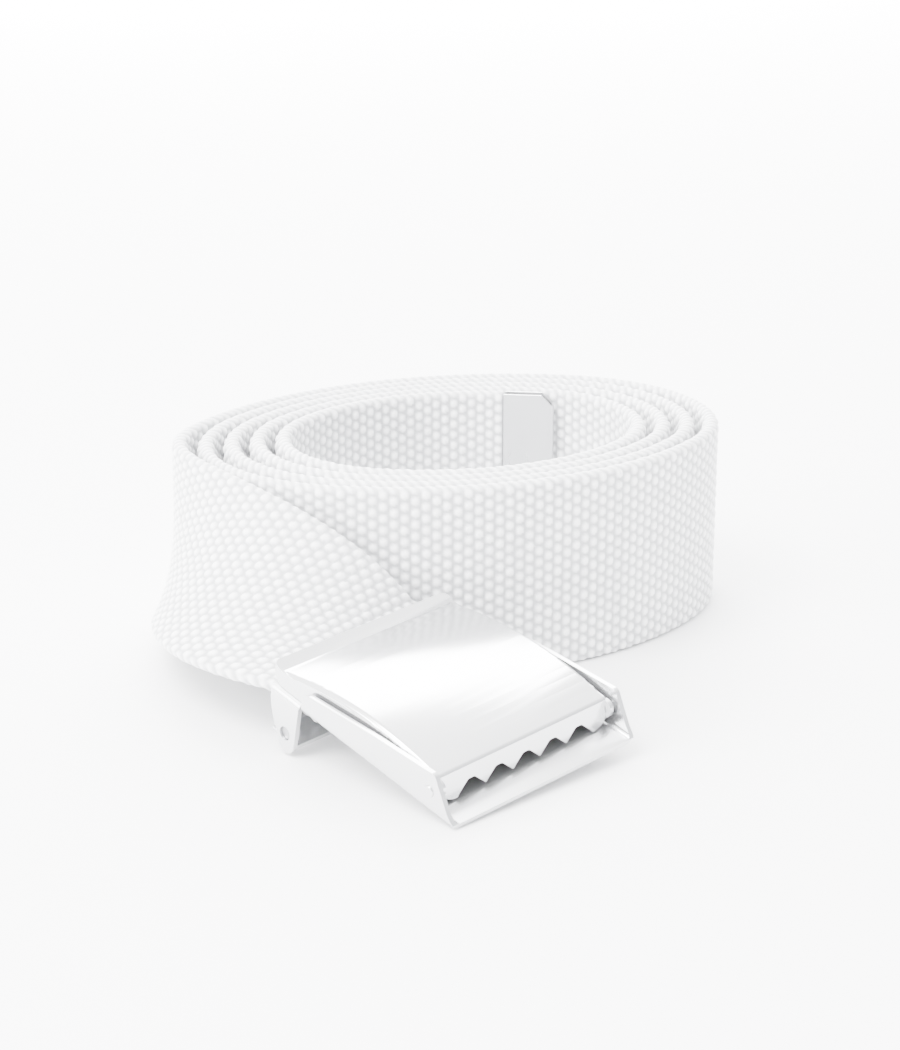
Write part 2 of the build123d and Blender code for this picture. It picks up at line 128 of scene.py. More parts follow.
def tube_patch(rings: np.ndarray, closed_ends: bool = True) -> Patch:
    """Skin over a stack of rings, each ring joined to the next all the way round.

    Vertex k of ring i meets vertex k of ring i + 1, and the last of a ring meets its first.

    Args:
        rings: array of shape (rings, points round, 3).
        closed_ends: whether each end gets one many-sided face.

    Returns:
        The skin, facing outwards when the rings turn anticlockwise seen from the last one.
    """
    count, around, _ = rings.shape
    index = np.arange(count * around).reshape(count, around)
    here, there = index[:-1], index[1:]
    quads = np.stack(
        [here, np.roll(here, -1, 1), np.roll(there, -1, 1), there], axis=-1
    ).reshape(-1, 4)
    faces = [quads.ravel()]
    sizes = [np.full(len(quads), 4)]
    if closed_ends:
        faces += [index[0][::-1], index[-1]]
        sizes += [np.array([around]), np.array([around])]
    return Patch(rings.reshape(-1, 3), np.concatenate(faces), np.concatenate(sizes))


# --------------------------------------------------------------------- shading
class Wire:
    """A socket's value, with Python's operators standing for Math nodes."""

    def __init__(self, bench: "Bench", socket: Any) -> None:
        """Keeps the bench that makes nodes and the socket that holds the value."""
        self.bench = bench
        self.socket = socket

    def _math(self, operation: str, *values: Any) -> "Wire":
        """One Math node over these values."""
        return self.bench.node("ShaderNodeMath", {"operation": operation}, dict(enumerate(values)))

    def __add__(self, other: Any) -> "Wire":
        """Sum."""
        return self._math("ADD", self, other)

    def __sub__(self, other: Any) -> "Wire":
        """Difference."""
        return self._math("SUBTRACT", self, other)

    def __rsub__(self, other: Any) -> "Wire":
        """Difference from a number."""
        return self._math("SUBTRACT", other, self)

    def __mul__(self, other: Any) -> "Wire":
        """Product."""
        return self._math("MULTIPLY", self, other)

    __radd__ = __add__
    __rmul__ = __mul__

    def clamped(self) -> "Wire":
        """The value kept between nought and one."""
        return self._math("MINIMUM", self._math("MAXIMUM", self, 0.0), 1.0)


class Bench:
    """Makes one material's nodes and joins them up."""

    def __init__(self, name: str) -> None:
        """Starts an empty material that ends in a Principled shader.

        Args:
            name: the material's name.
        """
        self.material = bpy.data.materials.new(name)
        self.material.use_nodes = True
        self.tree = self.material.node_tree
        self.tree.nodes.clear()
        self.shader = self.tree.nodes.new("ShaderNodeBsdfPrincipled")
        output = self.tree.nodes.new("ShaderNodeOutputMaterial")
        self.tree.links.new(self.shader.outputs[0], output.inputs["Surface"])

    def node(
        self,
        kind: str,
        settings: dict[str, Any] | None = None,
        inputs: dict[Any, Any] | None = None,
        output: Any = 0,
    ) -> Wire:
        """Adds a node.

        Args:
            kind: the node's type.
            settings: its properties, set before anything else.
            inputs: socket name or number to a value or a Wire.
            output: which of its outputs is wanted.

        Returns:
            That output as a Wire.
        """
        made = self.tree.nodes.new(kind)
        for key, value in (settings or {}).items():
            setattr(made, key, value)
        for key, value in (inputs or {}).items():
            self._feed(made.inputs[key], value)
        return Wire(self, made.outputs[output])

    def _feed(self, socket: Any, value: Any) -> None:
        """Links a Wire to a socket, or sets the socket's own value.

        Args:
            socket: the input that is fed.
            value: what it gets.
        """
        if isinstance(value, Wire):
            self.tree.links.new(value.socket, socket)
        else:
            socket.default_value = value

    def mix(self, share: Any, first: Any, second: Any) -> Wire:
        """Colour that goes from first to second as share goes from nought to one."""
        return self.node("ShaderNodeMix", {"data_type": "RGBA"}, {0: share, 6: first, 7: second}, output=2)

    def noise(self, where: Wire, scale: float, detail: float = 2.0) -> Wire:
        """Noise of one size, as a number."""
        return self.node("ShaderNodeTexNoise", {}, {"Vector": where, "Scale": scale, "Detail": detail})

    def bump(self, height: Wire, strength: float, distance: float, over: Wire | None = None) -> Wire:
        """Normal that a height bends, on top of another normal if one is given.

        Args:
            height: the relief.
            strength: how much of it counts.
            distance: how tall it is, in metres.
            over: the normal that it is laid on.

        Returns:
            The bent normal.
        """
        inputs = {"Height": height, "Strength": strength, "Distance": distance}
        if over is not None:
            inputs["Normal"] = over
        return self.node("ShaderNodeBump", {}, inputs)

    def finish(self, **sockets: Any) -> bpy.types.Material:
        """Sets the shader's own sockets.

        Args:
            sockets: value or Wire by the socket's name, with underscores for spaces.

        Returns:
            The finished material.
        """
        for key, value in sockets.items():
            self._feed(self.shader.inputs[key.replace("_", " ")], value)
        return self.material


@dataclass(frozen=True)
class CottonFinish:
    """Soft white cotton yarn, with painted shade that makes it greyer and bluer in the hollows of the
    weave.
    """

    name: str = "white_cotton_web"
    crown: tuple[float, float, float] = (0.95, 0.951, 0.956)
    # painted shade: the grey-blue colour given to the weave's hollows, where shade falls between the beads
    painted_hollow_shade: tuple[float, float, float] = (0.46, 0.465, 0.48)
    twist_scale: float = 130.0
    twist_wobble: float = 2.5
    blotch_scale: float = 90.0
    fibre_scale: float = 2600.0
    # painted shade: how strongly the relief darkens the colour towards the hollows' grey-blue
    relief_shade_gain: float = 1.15
    blotch_gain: float = 0.12
    fibre_gain: float = 0.22
    roughness: float = 0.92
    specular: float = 0.25
    sheen: float = 0.25
    sheen_roughness: float = 0.5
    fuzz_strength: float = 0.35
    fuzz_height: float = 0.00012
    cord_strength: float = 0.22
    cord_height: float = 0.00010

    def material(self) -> bpy.types.Material:
        """Cotton that reads its relief from the mesh and its yarn twist from the strap's map; low relief
        paints shade into the weave's hollows.

        Returns:
            The material.
        """
        bench = Bench(self.name)
        relief = bench.node("ShaderNodeAttribute", {"attribute_name": "relief"}, output="Fac")
        place = bench.node("ShaderNodeTexCoord", output="Object")
        strap_map = bench.node("ShaderNodeUVMap", {"uv_map": "strap"})
        blotch = bench.noise(place, self.blotch_scale)
        fibre = bench.noise(place, self.fibre_scale, 3.0)
        twist = bench.node(
            "ShaderNodeTexWave",
            {"wave_type": "BANDS", "bands_direction": "DIAGONAL"},
            {
                "Vector": strap_map,
                "Scale": self.twist_scale,
                "Distortion": self.twist_wobble,
                "Detail": 2.0,
            },
            output="Fac",
        )
        # painted shade: the relief sets how far the colour goes from the crowns' white to the painted
        # grey-blue of the hollows; blotch and fibre noise add random variation on top
        shade_and_blotch_share = (
            relief * self.relief_shade_gain
            + (blotch - 0.5) * self.blotch_gain
            + (fibre - 0.5) * self.fibre_gain
        ).clamped()
        yarn = bench.mix(shade_and_blotch_share, (*self.painted_hollow_shade, 1.0), (*self.crown, 1.0))
        fuzz = bench.bump(fibre, self.fuzz_strength, self.fuzz_height)
        cord = bench.bump(twist, self.cord_strength, self.cord_height, fuzz)
        return bench.finish(
            Base_Color=yarn,
            Roughness=self.roughness,
            Specular_IOR_Level=self.specular,
            Sheen_Weight=self.sheen,
            Sheen_Roughness=self.sheen_roughness,
            Normal=cord,
        )


class Grain(Enum):
    """Which way a metal part's faint polishing lines run, in the buckle's own directions."""

    ALONG = "along"
    ACROSS = "across"


@dataclass(frozen=True)
class NickelFinish:
    """Bright nickel plate with faint polishing lines and a little handling haze."""

    name: str
    bright: tuple[float, float, float] = (0.66, 0.664, 0.672)
    dull: tuple[float, float, float] = (0.59, 0.594, 0.604)
    gloss: float = 0.10
    haze: float = 0.10
    metal: float = 0.88
    grain: Grain = Grain.ALONG
    grain_depth: float = 0.00001
    line_haze: float = 0.4
    line_strength: float = 0.08
    pit_strength: float = 0.05
    smudge_scale: float = 55.0
    pit_scale: float = 1400.0
    buckle_turn: float = 45.0
    stretch_along: tuple[float, float, float] = (40.0, 40.0, 900.0)
    stretch_across: tuple[float, float, float] = (900.0, 900.0, 60.0)

    def material(self) -> bpy.types.Material:
        """Metal whose lines are noise stretched along the grain, on object coordinates.

        Returns:
            The material.
        """
        bench = Bench(self.name)
        place = bench.node("ShaderNodeTexCoord", output="Object")
        stretch = self.stretch_along if self.grain is Grain.ALONG else self.stretch_across
        turned = bench.node(
            "ShaderNodeMapping",
            {"vector_type": "POINT"},
            {
                "Vector": place,
                "Rotation": (0.0, 0.0, math.radians(self.buckle_turn)),
                "Scale": stretch,
            },
        )
        lines = bench.noise(turned, 1.0, 4.0)
        smudge = bench.noise(place, self.smudge_scale, 3.0)
        pits = bench.noise(place, self.pit_scale)
        colour = bench.mix(smudge, (*self.bright, 1.0), (*self.dull, 1.0))
        rough = self.gloss + smudge * self.haze + lines * (self.haze * self.line_haze)
        brushed = bench.bump(lines, self.line_strength, self.grain_depth)
        normal = bench.bump(pits, self.pit_strength, self.grain_depth, brushed)
        return bench.finish(Base_Color=colour, Metallic=self.metal, Roughness=rough, Normal=normal)


# ---------------------------------------------------------------- strap surface
@dataclass
class WebSection:
    """The strap's cross-section and its weave: two faces of staggered yarn beads.

    The ring of section points runs up the front face, over the top selvage, down the
    back face and round the bottom selvage. Each face is flat at the hollows' level;
    a selvage is half an ellipse.
    """

    half_width: float = 18.80
    hollow_depth: float = 1.18
    bead_rise: float = 0.47
    bead_long: float = 0.92
    bead_wide: float = 0.98
    column_pitch: float = 1.95
    rows: float = 16.5
    per_row: int = 6
    per_column: int = 4
    selvage_reach: float = 1.15
    selvage_steps: int = 7
    selvage_rise: float = 0.20
    # painted shade: scales the selvage loops' relief before it darkens the colour between them
    selvage_shade_relief: float = 0.9
    dome_power: float = 0.7
    bead_drift: float = 0.05
    bead_swell: float = 0.09
    draws: tuple[int, int] = (4096, 64)
    seed: int = 11

    @property
    def row_pitch(self) -> float:
        """Distance between beads across the strap."""
        return 2 * self.half_width / self.rows

    @property
    def station(self) -> float:
        """Distance between rings along the strap."""
        return self.column_pitch / self.per_column

    def ring(self) -> tuple[np.ndarray, np.ndarray, np.ndarray, np.ndarray, np.ndarray]:
        """Section points and outward directions.

        Returns:
            Across and through coordinates, the outward direction's two parts, and each
            point's share of the way over a selvage (nought on the faces).
        """
        flat = self.half_width - self.selvage_reach
        steps = round(2 * flat / (self.row_pitch / self.per_row))
        face = np.linspace(-flat, flat, steps + 1)
        bend = np.linspace(0, math.pi, self.selvage_steps + 2)[1:-1]
        over = np.sin(bend)
        drop = np.cos(bend)
        across = np.concatenate([
            face, flat + self.selvage_reach * over, face[::-1], -flat - self.selvage_reach * over,
        ])
        through = self.hollow_depth * np.concatenate([
            np.ones_like(face), drop, -np.ones_like(face), -drop,
        ])
        out_across = np.concatenate([0 * face, over, 0 * face, -over])
        out_through = np.concatenate([np.ones_like(face), drop, -np.ones_like(face), -drop])
        turn = np.concatenate([0 * face, bend / math.pi, 0 * face, bend / math.pi])
        return across, through, out_across, out_through, turn

    def beads(self, along: np.ndarray, across: np.ndarray, front: np.ndarray) -> np.ndarray:
        """Relief of the beads, from nought in the hollows to about one on the crowns.

        A bead is a dome over an ellipse: one less the squared distance, to dome_power.
        Columns stand one pitch apart and every second one is moved half a row; the back
        face is moved by one column. The tallest dome over a point counts.

        Args:
            along: distance along the strap, one row per ring.
            across: distance across the strap, one column per section point.
            front: whether a section point belongs to the front face.

        Returns:
            Relief for every ring and section point.
        """
        rng = np.random.default_rng(self.seed)
        jitter = rng.normal(size=(*self.draws, 2))
        best = np.zeros((len(along), len(across)))
        column_at = along[:, None] / self.column_pitch + np.where(front, 0.0, 1.0)[None, :]
        row_at = (across[None, :] + self.half_width) / self.row_pitch
        nearest = np.floor(column_at + 0.5)
        for step in (-1, 0, 1):
            column = nearest + step
            stagger = np.where(np.mod(column, 2) == 0, 0.5, 1.0)
            row = np.round(row_at - stagger)
            drawn = [np.mod(where, size).astype(int) for where, size in zip((column, row), self.draws)]
            pick = jitter[drawn[0], drawn[1]]
            long = (column_at - column) * self.column_pitch / self.bead_long
            wide = (row_at - stagger - row) * self.row_pitch / self.bead_wide
            long = long + self.bead_drift * pick[..., 0]
            inside = np.clip(1 - long ** 2 - wide ** 2, 0, None)
            best = np.maximum(best, inside ** self.dome_power * (1 + self.bead_swell * pick[..., 1]))
        return best

    def selvage(self, along: np.ndarray, turn: np.ndarray) -> np.ndarray:
        """Relief of the weft loops: cosine squared of the distance in pitches less the share turned."""
        phase = along[:, None] / self.column_pitch - turn[None, :]
        return np.cos(math.pi * phase) ** 2


@dataclass
class Course:
    """Where a stretch of strap runs: for each ring its centre and its two directions."""

    centre: np.ndarray
    up: np.ndarray
    out: np.ndarray


@dataclass
class Webbing:
    """The cotton strap: its coil, the tail that twists to the buckle and the gripped end."""

    section: WebSection = field(default_factory=WebSection)
    finish: CottonFinish = field(default_factory=CottonFinish)
    width: float = 38.0
    start: tuple[float, float] = (-48.5, 6.0)
    heading: float = 60.0
    side_radius: float = 71.35
    side_step: float = 3.70
    side_arc: float = 70.0
    end_radius: float = 33.25
    end_step: float = 1.20
    end_arc: float = 110.0
    half_turns: int = 8
    slab_half: float = 1.5
    coil_samples: int = 4000
    tail_samples: int = 801
    last_side_arc: float = 67.0
    coil_pieces: int = 6
    tail_length: float = 86.2
    tail_upper_leave: float = 18.9
    tail_upper_out: tuple[float, float, float] = (-61.3, -30.9, 39.0)
    tail_upper_over: tuple[float, float, float] = (-19.9, -63.2, 49.2)
    tail_upper_arrive: float = 9.3
    tail_lower_leave: float = 16.2
    tail_lower_out: tuple[float, float, float] = (-48.0, -2.2, 3.2)
    tail_lower_over: tuple[float, float, float] = (-81.6, -49.5, 10.5)
    tail_lower_arrive: float = 2.3
    grip_rear: float = -47.5
    grip_front: float = -37.5
    grip_height: float = -1.8
    fringe_pitch: float = 0.9
    fringe_reach: float = 17.6
    fringe_rows: tuple[float, ...] = (-0.8, 0.0, 0.8)
    fringe_length: tuple[float, float] = (0.5, 1.1)
    fringe_profile: tuple[tuple[float, float], ...] = (
        (-0.5, 0.34), (0.2, 0.38), (0.7, 0.30), (1.0, 0.10),
    )
    fringe_root: float = 0.3
    fringe_scatter: tuple[float, float] = (0.15, 0.12)
    fringe_lean: float = 0.22
    fringe_sides: int = 6
    # painted shade: a fixed relief that paints the cut yarn stubs a little grey
    fringe_shade_relief: float = 0.7
    fringe_seed: int = 5

    def __post_init__(self) -> None:
        """Works out the arcs and moves the coil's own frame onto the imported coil."""
        arcs: list[tuple[float, float]] = []
        for half_turn in range(self.half_turns):
            arcs.append((self.side_radius - self.side_step * half_turn, self.side_arc))
            arcs.append((self.end_radius - self.end_step * half_turn, self.end_arc))
        arcs.append((self.side_radius - self.side_step * self.half_turns, self.last_side_arc))
        self.arcs = np.array(arcs)
        self.arc_lengths = self.arcs[:, 0] * np.radians(self.arcs[:, 1])
        self.coil_length = float(self.arc_lengths.sum())
        self.shift = np.zeros(3)
        low, high = (np.array(corner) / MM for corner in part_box("webbing_coil"))
        course = self.coil_course(np.linspace(0, self.coil_length, self.coil_samples))
        edge = course.centre[:, :2] + course.out[:, :2] * self.slab_half
        self.shift[:2] = (low + high)[:2] / 2 - (edge.min(0) + edge.max(0)) / 2

    def coil_course(self, along: np.ndarray) -> Course:
        """The spiral of tangent arcs, turning clockwise; a distance below nought runs straight back.

        Along an arc of radius r that starts at heading h, the point at turn a is the start
        plus r times (sin h - sin(h - a), cos(h - a) - cos h).

        Args:
            along: distances from the coil's outer end.

        Returns:
            The course in the part's frame, in millimetres.
        """
        ends = np.cumsum(self.arc_lengths)
        starts = ends - self.arc_lengths
        turned = np.concatenate([[0], np.cumsum(np.radians(self.arcs[:, 1]))])
        heading = math.radians(self.heading) - turned
        corner = np.zeros((len(self.arcs) + 1, 2))
        corner[0] = self.start
        for index, (radius, _) in enumerate(self.arcs):
            before, after = heading[index], heading[index + 1]
            corner[index + 1] = corner[index] + radius * np.array(
                [math.sin(before) - math.sin(after), math.cos(after) - math.cos(before)]
            )
        which = np.clip(np.searchsorted(ends, along), 0, len(self.arcs) - 1)
        radius = self.arcs[which, 0]
        before = heading[which]
        now = before - (np.clip(along, 0, self.coil_length) - starts[which]) / radius
        x = corner[which, 0] + radius * (np.sin(before) - np.sin(now))
        y = corner[which, 1] + radius * (np.cos(now) - np.cos(before))
        past = along - np.clip(along, 0, self.coil_length)
        x = x + past * np.cos(now)
        y = y + past * np.sin(now)
        flat = np.full_like(x, self.width / 2)
        centre = np.stack([x, y, flat], -1) + self.shift
        up = np.tile([0.0, 0.0, 1.0], (len(x), 1))
        out = np.stack([-np.sin(now), np.cos(now), 0 * x], -1)
        return Course(centre, up, out)

    def tail_course(self, along: np.ndarray, buckle: "BuckleFrame") -> Course:
        """Ribbon between two fifth-degree Bezier selvages, at equal steps of its middle line.

        Args:
            along: distances from the coil, up to the tail's length.
            buckle: where the buckle lies.

        Returns:
            The course in the part's frame, in millimetres.
        """
        base = np.array([*self.start, 0.0]) + self.shift
        top = base + [0, 0, self.width]
        leaving = math.radians(self.heading)
        back = np.array([-math.cos(leaving), -math.sin(leaving), 0])
        half = self.width / 2
        upper_end = buckle.at(self.grip_rear, half, self.grip_height)
        lower_end = buckle.at(self.grip_rear, -half, self.grip_height)
        upper = np.array([
            top,
            top + self.tail_upper_leave * back,
            self.shift + self.tail_upper_out,
            self.shift + self.tail_upper_over,
            upper_end - self.tail_upper_arrive * buckle.forward,
            upper_end,
        ])
        lower = np.array([
            base,
            base + self.tail_lower_leave * back,
            self.shift + self.tail_lower_out,
            self.shift + self.tail_lower_over,
            lower_end - self.tail_lower_arrive * buckle.forward,
            lower_end,
        ])
        share = np.linspace(0, 1, self.tail_samples)[:, None]
        weights = np.concatenate(
            [math.comb(5, k) * (1 - share) ** (5 - k) * share ** k for k in range(6)], axis=1
        )
        top_line, low_line = weights @ upper, weights @ lower
        middle = (top_line + low_line) / 2
        walked = np.concatenate([[0], np.cumsum(np.linalg.norm(np.diff(middle, axis=0), axis=1))])
        wanted = along / self.tail_length * walked[-1]

        def at(line: np.ndarray) -> np.ndarray:
            """A line's points at the wanted distances."""
            return np.stack([np.interp(wanted, walked, line[:, k]) for k in range(3)], -1)

        centre = at(middle)
        up = unit(at(top_line) - at(low_line))
        travel = unit(at(np.gradient(middle, axis=0)))
        out = unit(np.cross(travel, up))
        return Course(centre, up, out)

    def skin(self, name: str, course: Course, along: np.ndarray, flip: float = 1.0) -> bpy.types.Object:
        """One piece of woven strap, closed at both ends.

        Each ring point is the centre plus the across and through coordinates, each plus
        the relief times the outward direction.

        Args:
            name: the piece's name.
            course: one frame per ring.
            along: the rings' distances, which the weave follows.
            flip: minus one where the course runs against the coil's direction.

        Returns:
            The dressed piece.
        """
        across, through, out_across, out_through, turn = self.section.ring()
        front = out_through >= 0
        relief = self.section.beads(along, across, front)
        face_share = 1 - np.sin(math.pi * turn) ** 2
        hem = self.section.selvage(along, turn)
        rise = (
            self.section.bead_rise * relief * face_share
            + self.section.selvage_rise * hem * (1 - face_share)
        )
        across_now = across + out_across * rise
        through_now = through + out_through * rise
        rings = (
            course.centre[:, None]
            + course.up[:, None] * across_now[..., None]
            + course.out[:, None] * through_now[..., None]
        ) * MM
        # painted shade: the bead and selvage relief, kept per vertex, darkens the colour in the hollows
        # and between the weft loops
        shade_relief = relief * face_share + hem * (1 - face_share) * self.section.selvage_shade_relief
        if flip < 0:
            turned = -self.section.selvage_steps
            rings = np.roll(rings[:, ::-1], turned, 1)
            shade_relief = np.roll(shade_relief[:, ::-1], turned, 1)
            across = np.roll(across[::-1], turned)
        patch = self._closed(rings)
        piece = patch.mesh_object(name)
        self._dress(piece, shade_relief)
        self._map(piece, along, across)
        LOG.info("%s: %d rings of %d points", name, *rings.shape[:2])
        return piece

    def _dress(self, piece: bpy.types.Object, shade_relief: np.ndarray) -> None:
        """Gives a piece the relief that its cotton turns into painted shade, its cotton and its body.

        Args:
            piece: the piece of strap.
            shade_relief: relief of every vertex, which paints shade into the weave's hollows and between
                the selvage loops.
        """
        attribute = piece.data.attributes.new("relief", "FLOAT", "POINT")
        attribute.data.foreach_set("value", shade_relief.astype(np.float32).ravel())
        piece.data.materials.append(bpy.data.materials[self.finish.name])
        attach(piece, "root")

    def _closed(self, rings: np.ndarray) -> Patch:
        """Tube over the rings whose ends are ladders of faces from front to back.

        Args:
            rings: array of shape (rings, points round, 3).

        Returns:
            The closed surface.
        """
        patch = tube_patch(rings, closed_ends=False)
        around = rings.shape[1]
        tip = (self.section.selvage_steps - 1) // 2
        low = around - 1 - tip
        order = np.arange(around // 2 + 1)
        front = np.mod(low + order, around)
        back = np.mod(low - order, around)
        ladder = np.stack([front[1:-2], back[1:-2], back[2:-1], front[2:-1]], -1)
        ends = np.array([[front[0], back[1], front[1]], [front[-2], back[-2], front[-1]]])
        last = (len(rings) - 1) * around
        first_end = [ladder.ravel(), ends.ravel()]
        last_end = [ladder[:, ::-1].ravel() + last, ends[:, ::-1].ravel() + last]
        sizes = [np.full(len(ladder), 4), np.full(2, 3)] * 2
        return Patch(
            patch.points,
            np.concatenate([patch.faces, *first_end, *last_end]),
            np.concatenate([patch.sizes, *sizes]),
        )

    def _map(self, piece: bpy.types.Object, along: np.ndarray, across: np.ndarray) -> None:
        """Gives the piece a map in metres along and across the strap.

        Args:
            piece: the woven piece.
            along: the rings' distances along the strap.
            across: the section points' distances across it.
        """
        layer = piece.data.uv_layers.new(name="strap")
        grid = np.stack(np.broadcast_arrays(along[:, None], across[None, :]), -1) * MM
        corners = np.empty(len(piece.data.loops), np.int32)
        piece.data.loops.foreach_get("vertex_index", corners)
        layer.data.foreach_set("uv", grid.reshape(-1, 2)[corners].astype(np.float32).ravel())

    def build(self, buckle: "BuckleFrame") -> None:
        """Makes every stretch of the strap and hides the plain solids.

        Args:
            buckle: where the buckle lies.
        """
        self.finish.material()
        step = self.section.station
        total = round(self.coil_length / step)
        cuts = np.linspace(0, total, self.coil_pieces + 1).astype(int)
        cuts = cuts // self.section.per_column * self.section.per_column
        cuts[-1] = total
        for number, (first, last) in enumerate(zip(cuts[:-1], cuts[1:]), 1):
            along = np.minimum(np.arange(first, last + 1) * step, self.coil_length)
            piece = self.skin(f"web_coil_{number}", self.coil_course(along), along)
            self._declare("webbing_coil")
        along = -np.arange(0, int(self.tail_length // step) + 1) * step
        piece = self.skin("web_tail", self.tail_course(-along, buckle), along, flip=-1.0)
        self._declare("webbing_tail")
        self._build_gripped_end(buckle, along[-1])

    def _declare(self, node: str) -> None:
        """Hides the solid that a piece of strap replaces.

        Args:
            node: the solid that it replaces.
        """
        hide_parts(node)

    def _build_gripped_end(self, buckle: "BuckleFrame", reached: float) -> None:
        """The last centimetre of strap, flat under the strap plate, and its cut yarns.

        Args:
            buckle: where the buckle lies.
            reached: the strap distance at which the tail stops.
        """
        step = self.section.station
        gap = self.tail_length + reached
        rings = int((self.grip_front - self.grip_rear + gap) // step) + 1
        local = self.grip_rear - gap + np.arange(rings) * step
        centre = np.stack([buckle.at(x, 0.0, self.grip_height) for x in local])
        course = Course(
            centre,
            np.tile(buckle.side, (rings, 1)),
            np.tile(buckle.up, (rings, 1)),
        )
        along = reached - np.arange(rings) * step
        piece = self.skin("web_gripped_end", course, along, flip=-1.0)
        self._declare("webbing_fixed_end")
        self._build_cut_yarns(buckle)

    def _build_cut_yarns(self, buckle: "BuckleFrame") -> None:
        """Short stubs of cut yarn that fringe the strap's end under the plate.

        Args:
            buckle: where the buckle lies.
        """
        rng = np.random.default_rng(self.fringe_seed)
        beside, above = self.fringe_scatter
        stubs = [
            self._yarn_stub(buckle, y + rng.normal(0, beside), z + rng.normal(0, above), rng)
            for y in np.arange(-self.fringe_reach, self.fringe_reach + 0.1, self.fringe_pitch)
            for z in self.fringe_rows
        ]
        piece = stubs[0].joined(*stubs[1:]).mesh_object("web_cut_yarns")
        # painted shade: every stub gets the same fixed relief, which greys it a little
        self._dress(piece, np.full(len(piece.data.vertices), self.fringe_shade_relief))
        piece.data.uv_layers.new(name="strap")

    def _yarn_stub(
        self, buckle: "BuckleFrame", y: float, z: float, rng: np.random.Generator
    ) -> Patch:
        """One cut yarn: a short tube of a few sides that tapers to a soft point.

        Args:
            buckle: where the buckle lies.
            y: its place across the strap.
            z: its place above the strap's middle.
            rng: source of its length and lean.

        Returns:
            The closed tube.
        """
        length = rng.uniform(*self.fringe_length)
        lean = rng.normal(0, self.fringe_lean, 2)
        turn = np.linspace(0, 2 * math.pi, self.fringe_sides + 1)[:-1]
        rings = []
        for share, radius in self.fringe_profile:
            forward = self.grip_front - self.fringe_root + length * share
            rings.append([
                buckle.at(
                    forward,
                    y + lean[0] * share + radius * math.cos(angle),
                    self.grip_height + z + lean[1] * share + radius * math.sin(angle),
                )
                for angle in turn
            ])
        return tube_patch(np.array(rings) * MM)


# --------------------------------------------------------------------- buckle
@dataclass
class BuckleFrame:
    """The buckle's own directions and origin, worked out from its two hinges.

    The cover's hinge axis is the side direction. The line from the cover's hinge to the
    jaw's hinge is known in the buckle's own forward and up directions, which fixes both.
    """

    hinge_at: tuple[float, float] = (-6.2, 4.2)
    jaw_at: tuple[float, float] = (-42.0, -7.0)

    def __post_init__(self) -> None:
        """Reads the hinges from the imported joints."""
        joints = {joint["name"]: joint for joint in frame["record"]["behaviour"]["joints"]}
        cover = np.array(joints["cover_hinge"]["pos_m"]) / MM
        jaw = np.array(joints["jaw_hinge"]["pos_m"]) / MM
        self.side = unit(np.array(joints["cover_hinge"]["axis"], float))
        between = unit(jaw - cover)
        known = unit(np.array(self.jaw_at) - np.array(self.hinge_at))
        square = np.cross(self.side, between)
        self.forward = known[0] * between + known[1] * square
        self.up = known[1] * between - known[0] * square
        self.origin = cover - self.hinge_at[0] * self.forward - self.hinge_at[1] * self.up

    def at(self, x: float, y: float, z: float) -> np.ndarray:
        """A point given forward, to the side and up, in the part's frame in millimetres."""
        return self.origin + x * self.forward + y * self.side + z * self.up


@dataclass(frozen=True)
class Plating:
    """How one metal node is finished: what it rides on, its slot and its softened edges."""

    node: str
    body: str
    slot: str
    finish: str
    edge: float


